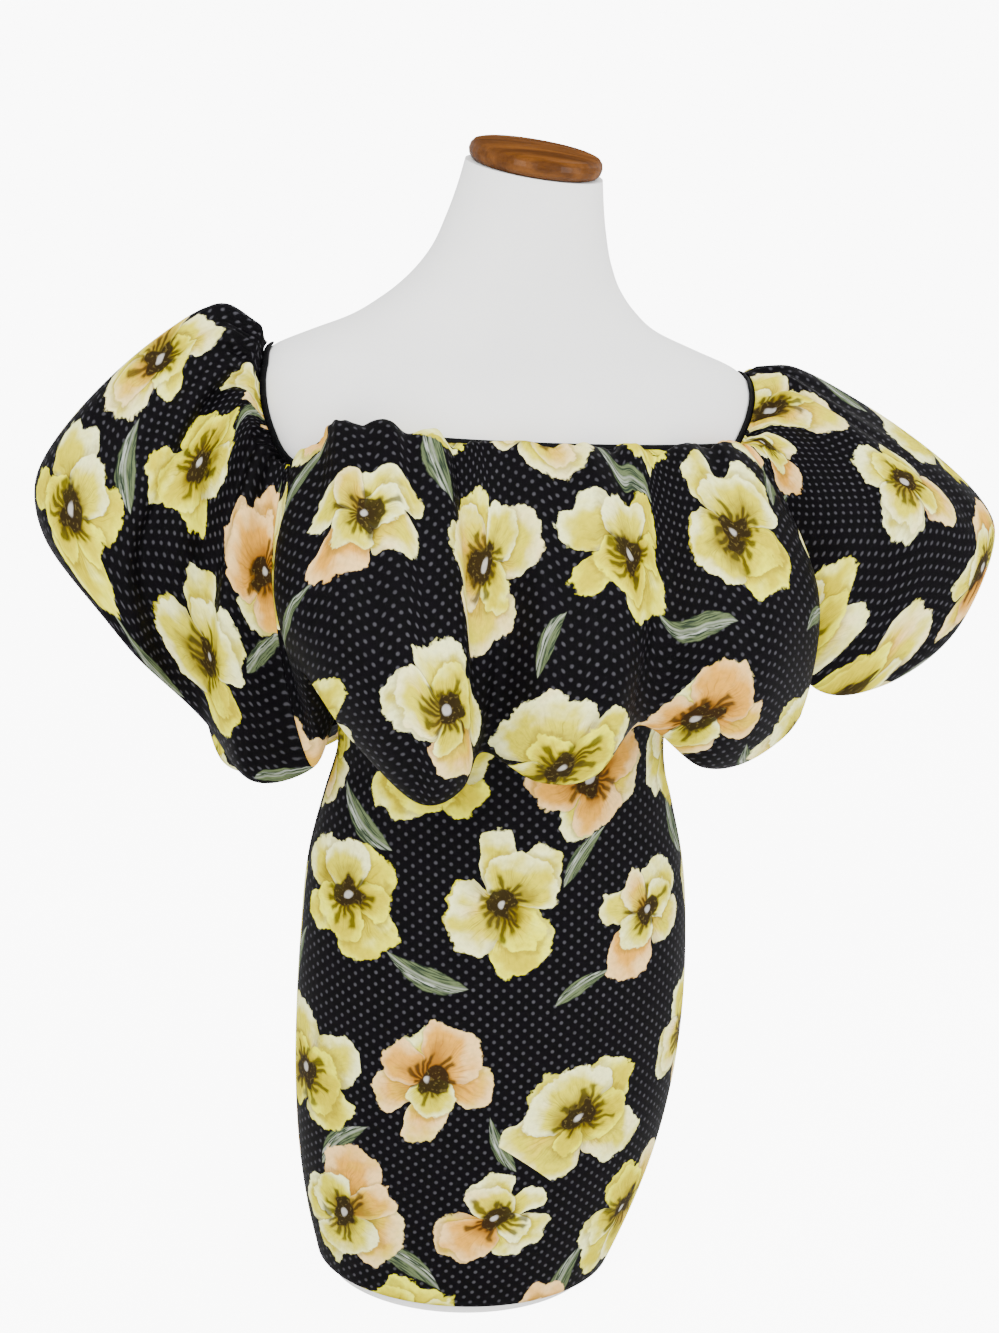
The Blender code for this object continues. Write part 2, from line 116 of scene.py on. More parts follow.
# Sections of the flounce, round from the centre back by the left to the right, in mm:
# name, angle and height of the neck, how far the crest lies out and up from it, belly
# and fold as x, y and z, and how far the turned edge lies from the fold in x and y
SECTIONS = (
    ("back_dip", -180, 772, 20, 8, 0, 160, 615, 0, 150, 515, 0, -30),
    ("back_left_lobe", -160, 770, 26, 12, -72, 195, 605, -72, 180, 462, 4, -45),
    ("back_left_dip", -143, 768, 20, 8, -130, 166, 605, -128, 142, 440, 10, -32),
    ("side_left_lobe", -130, 768, 26, 12, -228, 132, 590, -222, 92, 440, 10, -45),
    ("back_left_turn", -118, 774, 20, 10, -246, 104, 640, -246, 78, 505, 9, -34),
    ("sleeve_left_back", -109, 792, 30, 16, -300, 92, 690, -288, 70, 588, 12, -30),
    ("sleeve_left_heel", -101, 809, 38, 18, -350, 55, 705, -332, 42, 615, 28, -25),
    ("sleeve_left_edge", -90, 812, 46, 23, -380, -5, 706, -358, -8, 640, 42, 2),
    ("sleeve_left_toe", -79, 801, 38, 16, -362, -56, 680, -328, -56, 612, 37, 27),
    ("sleeve_left_front", -76, 779, 28, 10, -309, -80, 660, -300, -63, 574, 3, 34),
    ("left_crease", -74, 755, 18, 5, -256, -62, 650, -245, -22, 510, 8, 13),
    ("left_small_lobe", -72, 738, 18, 5, -236, -81, 617, -209, -66, 476, 14, 25),
    ("left_armhole", -68, 729, 12, 0, -200, -78, 642, -160, -62, 486, 14, 21),
    ("front_left_edge", -60, 735, 20, 10, -202, -146, 640, -176, -128, 582, 24, 17),
    ("front_left_lobe", -48, 752, 26, 20, -165, -200, 628, -142, -158, 538, 22, 34),
    ("front_left_low", -34, 756, 26, 16, -108, -222, 610, -92, -182, 497, 8, 44),
    ("front_left_inner", -23, 757, 20, 8, -64, -200, 605, -60, -172, 505, -14, 28),
    ("centre_dip", -14, 757, 14, 3, -38, -172, 606, -39, -138, 524, 1, 14),
    ("centre_lobe", -3, 757, 20, 6, -4, -204, 608, -2, -178, 513, 12, 30),
    ("centre_right", 10, 757, 20, 6, 45, -215, 612, 42, -170, 514, -12, 33),
    ("diagonal_fold", 22, 757, 16, 4, 84, -186, 628, 82, -146, 550, -6, 19),
    ("front_right_lobe", 34, 757, 20, 8, 140, -196, 625, 140, -140, 513, -10, 35),
    ("front_right_low", 44, 757, 20, 8, 196, -168, 640, 200, -112, 518, -17, 32),
    ("right_edge", 52, 757, 16, 6, 226, -120, 664, 232, -102, 555, -17, -15),
    ("right_crease", 56, 757, 10, 0, 206, -76, 680, 215, -70, 597, -11, 2),
    ("sleeve_right_front", 60, 770, 20, 6, 258, -88, 690, 260, -64, 556, -7, 20),
    ("sleeve_right_toe", 68, 789, 28, 8, 328, -84, 700, 320, -58, 560, -6, 33),
    ("sleeve_right_outer", 77, 801, 40, 3, 394, -52, 695, 380, -42, 598, -22, 31),
    ("sleeve_right_edge", 90, 807, 48, 3, 426, 0, 692, 402, 0, 628, -42, -6),
    ("sleeve_right_heel", 101, 803, 40, 6, 388, 55, 705, 368, 42, 614, -23, -31),
    ("sleeve_right_back", 109, 792, 26, 12, 318, 90, 692, 305, 72, 588, -9, -31),
    ("back_right_turn", 118, 776, 20, 10, 246, 102, 645, 244, 78, 525, -14, -37),
    ("side_right_lobe", 130, 768, 26, 12, 205, 145, 605, 200, 112, 480, -31, -51),
    ("back_right_dip", 143, 768, 20, 8, 135, 165, 615, 130, 148, 505, -14, -26),
    ("back_right_lobe", 160, 770, 26, 12, 70, 196, 605, 72, 182, 480, -1, -45),
)
START_OF = {row[0]: k * RING_STEPS for k, row in enumerate(SECTIONS)}

# Flounce pieces: name, first and last section, and in metres the flat width and length
# of the cut and where it lies on the print
PIECES = (
    ("sleeve_left", "back_left_turn", "left_armhole", (0.52, 0.34), (0.10, 0.31)),
    ("flounce_front", "left_armhole", "right_crease", (0.72, 0.33), (0.052, 0.205)),
    ("sleeve_right", "right_crease", "back_right_turn", (0.50, 0.36), (0.02, 0.11)),
    ("flounce_back", "back_right_turn", "back_left_turn", (0.67, 0.40), (0.21, 0.07)),
)
# The right sleeve's solid stands in two halves, which one piece of cloth covers
HALVES = {"sleeve_right": ("sleeve_right_front", "sleeve_right_back")}

# Casing halves: name, first and last section, and flat size of the cut in metres
CASINGS = (
    ("neckline_casing_front", "sleeve_left_edge", "sleeve_right_edge", (0.66, 0.01)),
    ("neckline_casing_back", "sleeve_right_edge", "sleeve_left_edge", (0.60, 0.01)),
)

# Valleys between lobes, where the gathered cloth hides its spare width
VALLEYS = (
    "back_dip", "back_left_dip", "back_left_turn", "left_crease", "left_armhole",
    "centre_dip", "diagonal_fold", "right_crease", "back_right_turn", "back_right_dip",
)

# Soft creases of the flounce: where they start and end round the ring, counted in
# sections, and down the cloth, 0 at the neckline, 1 at the crest, 2 at the belly and
# 3 at the fold; then depth in mm, below 0 for a ridge, and half width in sections
CREASES = (
    (0.5, 0.2, 0.3, 2.5, 6.5, 0.28),
    (1.5, 0.2, 1.7, 2.2, 5.5, 0.26),
    (2.5, 0.1, 2.4, 2.3, 6.5, 0.28),
    (3.5, 0.2, 3.3, 2.6, 7.0, 0.28),
    (6.4, 0.1, 6.1, 2.4, 7.0, 0.30),
    (7.2, -0.1, 7.2, 1.3, -9.0, 1.30),
    (7.3, 0.1, 7.9, 2.1, 7.0, 0.28),
    (8.1, 0.1, 8.4, 2.4, 7.0, 0.26),
    (8.8, 0.4, 9.65, 3.0, 13.0, 0.20),
    (9.2, 0.4, 10.0, 2.7, -5.0, 0.24),
    (10.5, 0.3, 10.4, 2.8, 7.0, 0.28),
    (11.5, 0.3, 11.7, 2.4, 3.5, 0.26),
    (13.4, 0.1, 13.8, 2.1, 8.0, 0.30),
    (14.3, 0.1, 14.9, 2.8, 6.5, 0.28),
    (14.7, -0.1, 14.8, 1.5, -4.5, 0.30),
    (15.5, 0.1, 15.2, 2.4, 5.5, 0.24),
    (15.9, -0.1, 15.8, 1.3, -4.0, 0.26),
    (16.4, 0.1, 16.2, 2.9, 9.0, 0.30),
    (18.4, 0.1, 18.1, 2.5, 5.0, 0.26),
    (19.2, 0.1, 19.7, 2.0, 5.5, 0.24),
    (19.7, 0.0, 20.1, 1.6, -3.5, 0.26),
    (20.5, 0.1, 19.6, 2.9, 8.5, 0.28),
    (21.6, 0.1, 21.1, 2.4, 6.0, 0.26),
    (22.6, 0.1, 22.9, 2.3, 5.0, 0.26),
    (25.4, 0.1, 25.6, 2.7, 7.5, 0.28),
    (26.4, 0.1, 26.8, 2.4, 6.5, 0.28),
    (27.6, 0.1, 27.2, 1.9, 5.5, 0.28),
    (27.8, -0.1, 27.8, 1.3, -5.0, 1.30),
    (28.5, 0.1, 28.9, 2.0, 7.0, 0.28),
    (29.6, 0.1, 29.4, 2.4, 6.5, 0.28),
    (30.6, 0.1, 30.8, 2.1, 6.0, 0.26),
    (31.5, 0.2, 31.7, 2.4, 6.5, 0.28),
    (32.5, 0.1, 32.3, 2.5, 6.5, 0.28),
    (33.4, 0.2, 33.7, 2.6, 7.0, 0.28),
    (34.6, 0.2, 34.3, 2.2, 5.5, 0.26),
)

# Shape of every crease: how far its line sways, as a share of its half width, how the
# sway turns along it, and the shares of its length over which it fades in and out
CREASE_SWAY = 0.35
CREASE_SWAY_TURN = 5.0
CREASE_SWAY_START = 3.0
CREASE_FADE_IN = 0.3
CREASE_AT_START = 0.4
CREASE_FADE_OUT = 0.45

# Gathers under the neckline: how many in a section, height in mm, and how far down they
# reach. Each wanders round the ring by waves: size, number of waves and start.
GATHERS_PER_SECTION = 3.6
GATHER_HEIGHT = 1.9
GATHER_REACH = 1.2
SPACING_WAVE = (0.5, 10, 0.0)
HEIGHT_WAVES = ((0.7, 6, 0.4), (0.5, 25, 0.0))
REACH_WAVE = (0.35, 13, 1.0)
# Height in mm of the slow unevenness of the flounce and of the fitted panels
FLOUNCE_DRIFT = 1.1
PANEL_DRIFT = 0.35

# Drag creases of the fitted panels: angle round the form in degrees and height in mm of
# both ends, depth in mm, below 0 for a ridge, and half width in mm
FRONT_DRAGS = (
    (-82, 470, -20, 492, 0.9, 9),
    (-70, 440, -12, 452, 0.7, 11),
    (84, 462, 24, 480, 0.9, 9),
    (70, 425, 10, 440, 0.6, 10),
    (-80, 400, -48, 380, 0.6, 12),
    (80, 390, 52, 372, 0.6, 12),
    (-30, 120, 18, 112, 0.5, 12),
    (-60, 30, -54, 95, 0.7, 10),
    (58, 28, 50, 100, 0.7, 10),
)
BACK_DRAGS = (
    (100, 480, 160, 470, 0.9, 9),
    (262, 478, 205, 466, 0.9, 9),
    (110, 445, 172, 438, 0.7, 11),
    (250, 436, 196, 446, 0.6, 10),
    (126, 40, 132, 110, 0.6, 10),
    (232, 34, 226, 104, 0.6, 10),
)
MM_PER_DEGREE = 2.4
STEEP_DRAG_RISE = 30

# Fitted panels: name, angle of the middle, drag creases, flat size of the cut and where
# it lies on the print
PANELS = (
    ("dress_front", 0.0, FRONT_DRAGS, (0.47, 0.76), (0.26, 0.26)),
    ("dress_back", math.pi, BACK_DRAGS, (0.47, 0.76), (0.05, 0.10)),
)
# How sharply the spare width of the cut is taken up near a valley, and the jump of the
# flat place, in metres, that marks where the ring of cloth starts again
SPARE_POWER = 5
CUT_JUMP = 0.2


# ---- shared shapes


def smooth_between(rows, knots, at, period=None):
    """Cubic curve through rows at their knots, sloped at each as its neighbours lie."""
    rows = np.asarray(rows, float)
    knots = np.asarray(knots, float)
    if period is not None:
        rows = np.concatenate([rows[-3:], rows, rows[:4]])
        knots = np.concatenate([knots[-3:] - period, knots, knots[:4] + period])
    slopes = np.gradient(rows, knots, axis=0)
    cell = np.clip(np.searchsorted(knots, at, side="right") - 1, 0, len(knots) - 2)
    span = (knots[cell + 1] - knots[cell])[:, None]
    t = (np.asarray(at, float) - knots[cell])[:, None] / span
    start = rows[cell] * (1 + 2 * t) * (1 - t) ** 2 + slopes[cell] * span * t * (1 - t) ** 2
    end = rows[cell + 1] * t**2 * (3 - 2 * t) - slopes[cell + 1] * span * t**2 * (1 - t)
    return start + end


def smooth_step(value):
    held = np.clip(value, 0.0, 1.0)
    return held * held * (3 - 2 * held)


def body_sizes(height):
    """Half width, front depth, back depth, shift of the middle and ease at each height."""
    flat = np.ravel(height)
    sizes = smooth_between(BODY_TABLE[:, 1:], BODY_TABLE[:, 0], flat)
    return sizes.reshape(np.shape(height) + (5,))


def body_point(angle, height, out=0.0):
    """Point of the form's level ellipse, moved out along the surface's normal."""
    angle, height = np.broadcast_arrays(np.asarray(angle, float), np.asarray(height, float))
    sizes = body_sizes(height)
    step = 0.5 * MM
    slope = (body_sizes(height + step) - body_sizes(height - step)) / (2 * step)
    across, along = np.sin(angle), np.cos(angle)
    width = sizes[..., 0]
    depth = np.where(along > 0, sizes[..., 1], sizes[..., 2])
    depth_slope = np.where(along > 0, slope[..., 1], slope[..., 2])
    point = np.stack([sizes[..., 3] + width * across, -depth * along, height], -1)
    lean = width * depth_slope * along**2 + depth * slope[..., 0] * across**2
    lean += depth * slope[..., 3] * across
    normal = np.stack([depth * across, -width * along, -lean], -1)
    normal /= np.linalg.norm(normal, axis=-1, keepdims=True)
    return point + normal * np.asarray(out)[..., None]


def run_lengths(grid, axis):
    """Distance along each line of a grid of points, from the line's first point."""
    run = np.cumsum(np.linalg.norm(np.diff(grid, axis=axis), axis=2), axis=axis)
    return np.concatenate([np.zeros_like(run.take([0], axis)), run], axis)


def crease_depth(across, down, creases):
    """Sum of soft troughs: each is a bell across its line, tapered to both its ends."""
    total = np.zeros(np.shape(across))
    for x0, y0, x1, y1, depth, half in creases:
        share = np.clip((down - y0) / (y1 - y0), 0.0, 1.0)
        sway = CREASE_SWAY * half * np.sin(CREASE_SWAY_TURN * share + CREASE_SWAY_START * x0)
        middle = x0 + (x1 - x0) * share + sway
        bell = np.exp(-(((across - middle) / half) ** 2))
        inside = smooth_step((down - y0) / (CREASE_FADE_IN * (y1 - y0)) + CREASE_AT_START)
        inside = inside * smooth_step((y1 - down) / (CREASE_FADE_OUT * (y1 - y0)))
        total = total + depth * bell * inside
    return total


# ---- meshes


def grid_quads(columns, rows, first=0, turned=False):
    column, row = np.meshgrid(np.arange(columns - 1), np.arange(rows - 1), indexing="ij")
    corner = first + (column * rows + row).ravel()
    faces = np.stack([corner, corner + 1, corner + rows + 1, corner + rows], -1)
    return faces[:, ::-1] if turned else faces


def rim_quads(outer, inner, turned=False):
    faces = np.stack([outer[:-1], outer[1:], inner[1:], inner[:-1]], -1)
    return faces[:, ::-1] if turned else faces


def add_piece(name, points, faces, place_on_cloth=None, inner_from=None):
    """Mesh object at the origin; cloth gets its flat place as a UV map in metres."""
    mesh = bpy.data.meshes.new(name)
    mesh.from_pydata(points.tolist(), [], faces if isinstance(faces, list) else faces.tolist())
    if place_on_cloth is not None:
        corner = np.empty(len(mesh.loops), int)
        mesh.loops.foreach_get("vertex_index", corner)
        flat = mesh.uv_layers.new(name="flat_cloth")
        flat.data.foreach_set("uv", place_on_cloth[corner].astype(np.float32).ravel())
    mesh.shade_smooth()
    if inner_from is not None:
        which = np.zeros(len(mesh.polygons), np.int32)
        which[inner_from:] = 1
        mesh.polygons.foreach_set("material_index", which)
    item = bpy.data.objects.new(name, mesh)
    bpy.context.scene.collection.objects.link(item)
    return item


def cloth_piece(name, outer, inner, flat):
    """Closed cloth of two lofted faces and four rims; outer and rims print, inner plain."""
    columns, rows = outer.shape[:2]
    count = columns * rows
    index = np.arange(count).reshape(columns, rows)
    faces = np.concatenate([
        grid_quads(columns, rows),
        rim_quads(index[:, 0], index[:, 0] + count),
        rim_quads(index[:, -1], index[:, -1] + count, True),
        rim_quads(index[0], index[0] + count, True),
        rim_quads(index[-1], index[-1] + count),
        grid_quads(columns, rows, count, True),
    ])
    inner_from = len(faces) - (columns - 1) * (rows - 1)
    points = np.concatenate([outer.reshape(-1, 3), inner.reshape(-1, 3)])
    place = np.concatenate([flat.reshape(-1, 2)] * 2)
    return add_piece(name, points, faces, place, inner_from)


# ---- flounce


def level_way(vectors):
    level = vectors * (1, 1, 0)
    return level / np.linalg.norm(level, axis=-1, keepdims=True)


def ring_controls():
    """Neck, crest, belly, fold and turned edge of every section, and its place round."""
    table = np.array([row[1:] for row in SECTIONS], float)
    angle, height = np.radians(table[:, 0]), table[:, 1] * MM
    out, up = table[:, 2:3] * MM, table[:, 3] * MM
    belly, fold, turn = (table[:, a:b] * MM for a, b in ((4, 7), (7, 10), (10, 12)))
    neck = body_point(angle, height, FLOUNCE_LIFT)
    crest = neck + level_way(belly - neck) * out
    crest[:, 2] += up
    rise = TURN_UNDER_RISE + TURN_UNDER_SLOPE * np.linalg.norm(turn, axis=1)
    edge = fold + np.column_stack([turn, rise])
    spread = np.linalg.norm(np.roll(belly, -1, 0) - belly, axis=1)
    knots = np.concatenate([[0.0], np.cumsum(spread)])
    return angle, height, np.stack([crest, belly, fold, edge], 1), knots


def neckline(angle, height, knots, at):
    turn = np.stack([np.cos(angle), np.sin(angle), height], -1)
    found = smooth_between(turn, knots[:-1], at, knots[-1])
    return np.arctan2(found[:, 1], found[:, 0]), found[:, 2]


def grid_normals(grid):
    """Outward normals of a surface that closes on itself round the form."""
    round_way = np.roll(grid, -1, 0) - np.roll(grid, 1, 0)
    down_way = np.gradient(grid, axis=1)
    normal = np.cross(down_way, round_way)
    return normal / np.linalg.norm(normal, axis=-1, keepdims=True)


def profile_grid(through):
    """Smooth profile down every column, and how far down the cloth each row lies."""
    down = [k + np.arange(n) / n for k, n in enumerate(ROWS_IN_SPANS)]
    down = np.concatenate(down + [[float(len(ROWS_IN_SPANS))]])
    grid = np.empty((len(through), len(down), 3))
    for column, points in enumerate(through):
        spans = np.sqrt(np.linalg.norm(np.diff(points, axis=0), axis=1))
        marks = np.concatenate([[0.0], np.cumsum(spans)])
        grid[column] = smooth_between(points, marks, np.interp(down, np.arange(5), marks))
    return grid, down


def wave(turns, size, count, start):
    return size * np.sin(count * turns + start)


def gather_height(section, row):
    """Height in mm of the gathers, fading down from the neckline, and of the slow drift."""
    turns = section * 2 * math.pi / len(SECTIONS)
    phase = 2 * math.pi * (GATHERS_PER_SECTION * section + wave(turns, *SPACING_WAVE))
    lift = np.sin(phase + 0.5 * np.sin(3.1 * row + 6 * turns))
    size = GATHER_HEIGHT
    for one in HEIGHT_WAVES:
        size = size + wave(turns, *one)
    reach = GATHER_REACH + wave(turns, *REACH_WAVE)
    gather = size * lift * smooth_step(3.2 * row) * smooth_step((reach - row) / reach)
    drift = FLOUNCE_DRIFT * np.sin(12 * turns + 1.9 * row) * np.sin(1.3 * row + 4 * turns)
    return gather + drift * smooth_step(row) * smooth_step(3.6 - row)


def flounce_surface():
    """Ring of profiles from neckline to turned edge, with gathers and creases laid on."""
    angle, height, controls, knots = ring_controls()
    parts = [np.linspace(a, b, RING_STEPS, endpoint=False) for a, b in zip(knots, knots[1:])]
    at = np.concatenate(parts)
    neck_angle, neck_height = neckline(angle, height, knots, at)
    neck = body_point(neck_angle, neck_height, FLOUNCE_LIFT)
    flat = smooth_between(controls.reshape(len(SECTIONS), -1), knots[:-1], at, knots[-1])
    through = np.concatenate([neck[:, None], flat.reshape(len(at), 4, 3)], 1)
    grid, down = profile_grid(through)
    section = (np.arange(len(at)) / RING_STEPS)[:, None]
    row = down[None, :]
    laps = (-len(SECTIONS), 0, len(SECTIONS))
    troughs = sum(crease_depth(section + lap, row, CREASES) for lap in laps)
    troughs = troughs * smooth_step(4.0 * row)
    out = (gather_height(section, row) - troughs) * MM
    return grid + grid_normals(grid) * out[..., None], neck_angle, neck_height


def ring_columns(start, end, total):
    first, last = START_OF[start], START_OF[end]
    if last <= first:
        last += total
    return np.arange(first, last + 1) % total


def part_at_seams(ring, columns):
    """Columns of a closed ring, the two end ones drawn in by half of the seam gap."""
    drawn = ring[columns]
    for end, side in ((0, 1), (-1, -1)):
        column = columns[end]
        way = ring[(column + 1) % len(ring)] - ring[column - 1]
        way /= np.linalg.norm(way, axis=-1, keepdims=True)
        drawn[end] += way * side * SEAM_GAP / 2
    return drawn


def flounce_cut(surface):
    """Flat place of every point of the ring on its cloth, in metres.

    Between two valleys the cloth lies true to size about the middle of the lobe, and the
    width that the neckline gathers away is taken up near the valleys, as real folds do.
    """
    total = len(surface)
    starts = sorted(START_OF[name] for name in VALLEYS)
    across = run_lengths(np.concatenate([surface, surface[:1]]), 0)
    flat = np.empty(surface.shape[:2] + (2,))
    flat[..., 1] = -run_lengths(surface, 1)
    for first, last in zip(starts, starts[1:] + [starts[0] + total]):
        columns = np.arange(first, last + 1)
        lap = columns // total
        run = across[columns % total] + lap[:, None] * across[-1]
        middle = (run[0] + run[-1]) / 2
        half = (run[-1] - run[0]) / 2
        aside = (run - middle) / half
        spare = half[BELLY_ROW] - half
        taken = spare * np.sign(aside) * np.abs(aside) ** SPARE_POWER
        place = middle[BELLY_ROW] + aside * half + taken
        flat[columns[:-1] % total, :, 0] = place[:-1]
    return flat


def make_flounce(surface, finishes):
    normals = grid_normals(surface)
    cut = flounce_cut(surface)
    for name, start, end, size, shift in PIECES:
        columns = ring_columns(start, end, len(surface))
        outer = part_at_seams(surface, columns)
        inner = outer - normals[columns] * CLOTH_THICKNESS
        flat = cut[columns].copy()
        if flat[-1, 0, 0] < flat[0, 0, 0]:
            wrap = np.argmax(np.diff(flat[:, 0, 0]) < -CUT_JUMP) + 1
            flat[wrap:, :, 0] += flat[wrap - 1, :, 0] - flat[wrap, :, 0]
        flat[..., 0] -= flat[:, BELLY_ROW, 0].mean()
        piece = cloth_piece(name + "_cloth", outer, inner, flat + shift)
        finish_cloth(piece, finishes, HALVES.get(name, (name,)))


def finish_cloth(piece, finishes, nodes):
    for finish in finishes:
        piece.data.materials.append(finish)
    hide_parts(*nodes)
    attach(piece, "root")


# ---- fitted dress and casing


def panel_top(angle, neck_angle, neck_height):
    """Height of the fitted panels' top edge: under the casing, and low under the arms."""
    order = np.argsort(neck_angle)
    edge = np.interp(angle, neck_angle[order], neck_height[order], period=2 * math.pi)
    under_casing = edge - CASING_WIDTH / 2 - CASING_SEAM_GAP
    from_side = np.abs(np.abs(angle) - math.pi / 2)
    dip = smooth_step((SIDE_DIP_FROM - from_side) / (SIDE_DIP_FROM - SIDE_DIP_TO))
    return under_casing + (SIDE_TOP_HEIGHT - under_casing) * dip


def drag_depth(drags, around, height):
    """Depth of a panel's creases in mm: level ones run round the form, steep ones up it."""
    reach, rise = np.degrees(around) * MM_PER_DEGREE, height / MM
    level, steep = [], []
    for from_angle, from_height, to_angle, to_height, *shape in drags:
        start, end = from_angle * MM_PER_DEGREE, to_angle * MM_PER_DEGREE
        if abs(to_height - from_height) < STEEP_DRAG_RISE:
            level.append((from_height, start, to_height, end, *shape))
        else:
            steep.append((start, from_height, end, to_height, *shape))
    return crease_depth(rise, reach, level) + crease_depth(reach, rise, steep)


def make_panels(neck_angle, neck_height, finishes):
    """Front and back of the fitted dress: the form's surface moved out by its ease."""
    quarter = math.pi / 2
    inset = SEAM_GAP / 2 / BODY_TABLE[:, 1].min()
    for name, middle, drags, size, shift in PANELS:
        turn = np.linspace(-quarter, quarter, PANEL_COLUMNS + 1)
        turn[0] += inset
        turn[-1] -= inset
        angle = turn + middle
        top = panel_top(np.arctan2(np.sin(angle), np.cos(angle)), neck_angle, neck_height)
        height = top[:, None] + (HEM_HEIGHT - top[:, None]) * np.linspace(0, 1, PANEL_ROWS)
        around = np.broadcast_to(angle[:, None], height.shape)
        rest = BODY_GAP + body_sizes(height)[..., 4] + WALL
        drift = np.sin(0.021 * height / MM + 1.3 * around) * np.sin(2.7 * around + 1.1)
        out = rest + (PANEL_DRIFT * drift - drag_depth(drags, around, height)) * MM
        outer = body_point(around, height, out)
        inner = body_point(around, height, out - CLOTH_THICKNESS)
        run = run_lengths(body_point(around, height, rest), 0)
        flat = np.stack([run - run[len(run) // 2], height - HEM_HEIGHT], -1)
        piece = cloth_piece(name + "_cloth", outer, inner, flat + shift)
        finish_cloth(piece, finishes, (name,))


def make_casings(neck_angle, neck_height, finish):
    """Elastic casing: a rounded strip along the neckline, ruched in small even waves."""
    centre = body_point(neck_angle, neck_height)
    normal = body_point(neck_angle, neck_height, 1.0) - centre
    along = np.roll(centre, -1, 0) - np.roll(centre, 1, 0)
    along /= np.linalg.norm(along, axis=1, keepdims=True)
    down = np.cross(along, normal)
    across = np.linspace(-1.0, 1.0, CASING_ROWS)
    strip = centre[:, None] + down[:, None] * (across * CASING_WIDTH / 2)[:, None]
    run = np.concatenate([[0.0], np.cumsum(np.linalg.norm(np.diff(centre, axis=0), axis=1))])
    ruche = CASING_RUCHE * np.sin(2 * math.pi * run / CASING_RUCHE_PITCH)[:, None]
    puff = BODY_GAP + CASING_WALL * (0.45 + (0.55 - ruche) * np.sqrt(1 - 0.9 * across**2))
    for name, start, end, size in CASINGS:
        columns = ring_columns(start, end, len(strip))
        base = part_at_seams(strip, columns)
        away = normal[columns][:, None]
        outer = base + away * puff[columns][..., None]
        inner = base + away * BODY_GAP
        flat = np.stack(np.broadcast_arrays(run[columns][:, None], across * CASING_WIDTH / 2), -1)
        piece = cloth_piece(name + "_cloth", outer, inner, flat)
        finish_cloth(piece, (finish, finish), (name,))


# ---- form


def make_form(finish):
    """Form cover: the level ellipses at a fine step, its neck top sloped by its tilt."""
    angle = np.linspace(-math.pi, math.pi, FORM_COLUMNS, endpoint=False)
    marks = BODY_TABLE[:, 0]
    height = np.interp(np.linspace(0, 1, FORM_ROWS), np.linspace(0, 1, len(marks)), marks)
    points = body_point(angle[None, :], height[:, None])
    share = smooth_step((points[..., 2] - NECK_TILT_FROM) / (NECK_TOP_HEIGHT - NECK_TILT_FROM))
    lean = points[..., 1] * math.tan(NECK_TILT_FRONT) - points[..., 0] * math.tan(NECK_TILT_SIDE)
    points[..., 2] += share * lean
    points[0, :, 2] = 0.0
    rows, columns = points.shape[:2]
    index = np.arange(rows * columns).reshape(rows, columns)
    lower, upper = index[:-1], index[1:]
    quads = np.stack([lower, np.roll(lower, -1, 1), np.roll(upper, -1, 1), upper], -1)
    faces = quads.reshape(-1, 4).tolist() + [index[0, ::-1].tolist(), index[-1].tolist()]
    form = add_piece("form_cover", points.reshape(-1, 3), faces)
    form.data.set_sharp_from_angle(angle=math.radians(50.0))
    form.data.materials.append(finish)
    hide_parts("form_body")
    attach(form, "root")


# ---- shader arithmetic


class Value:
    """A number or place that varies over the surface, with node arithmetic."""

    def __init__(self, tree, socket):
        self.tree = tree
        self.socket = socket

    def put(self, kind, operation, *values, output=0):
        node = self.tree.nodes.new(kind)
        node.operation = operation
        for slot, value in zip(node.inputs, (self, *values)):
            plug(slot, value)
        return Value(self.tree, node.outputs[output])

    def math(self, operation, *values):
        return self.put("ShaderNodeMath", operation, *values)

    def place(self, operation, *values, output=0):
        return self.put("ShaderNodeVectorMath", operation, *values, output=output)

    def __add__(self, other):
        return self.math("ADD", other)

    __radd__ = __add__

    def __sub__(self, other):
        return self.math("SUBTRACT", other)

    def __rsub__(self, other):
        return (self * -1.0) + other

    def __mul__(self, other):
        return self.math("MULTIPLY", other)

    def __truediv__(self, other):
        return self.math("DIVIDE", other)

    def step(self, start, end):
        """Smooth rise from 0 at start to 1 at end."""
        node = self.tree.nodes.new("ShaderNodeMapRange")
        node.interpolation_type = "SMOOTHSTEP"
        give(node, Value=self, From_Min=start, From_Max=end)
        return Value(self.tree, node.outputs["Result"])

    def length(self):
        return self.place("LENGTH", output="Value")

    def axes(self):
        node = self.tree.nodes.new("ShaderNodeSeparateXYZ")
        plug(node.inputs[0], self)
        return [Value(self.tree, node.outputs[k]) for k in range(3)]


def plug(slot, value):
    if isinstance(value, Value):
        value.tree.links.new(value.socket, slot)
    elif isinstance(value, tuple) and len(slot.default_value) == 4 and len(value) == 3:
        slot.default_value = (*value, 1.0)
    else:
        slot.default_value = value


def give(node, **values):
    """Plugs values into a node's inputs, named with _ for a space."""
    for label, value in values.items():
        plug(node.inputs[label.replace("_", " ")], value)


def join_axes(x, y, z=0.0):
    node = x.tree.nodes.new("ShaderNodeCombineXYZ")
    for slot, value in zip(node.inputs, (x, y, z)):
        plug(slot, value)
    return Value(x.tree, node.outputs[0])


# First input and output of each kind of mix node
MIX_SLOTS = {"RGBA": (6, 2), "VECTOR": (4, 1)}


def blend(kind, share, first, second):
    """Goes from first to second as share goes from 0 to 1."""
    node = share.tree.nodes.new("ShaderNodeMix")
    node.data_type = kind
    start, result = MIX_SLOTS[kind]
    for slot, value in ((0, share), (start, first), (start + 1, second)):
        plug(node.inputs[slot], value)
    return Value(share.tree, node.outputs[result])


def blend_colour(share, first, second):
    return blend("RGBA", share, first, second)


def blend_place(share, first, second):
    return blend("VECTOR", share, first, second)


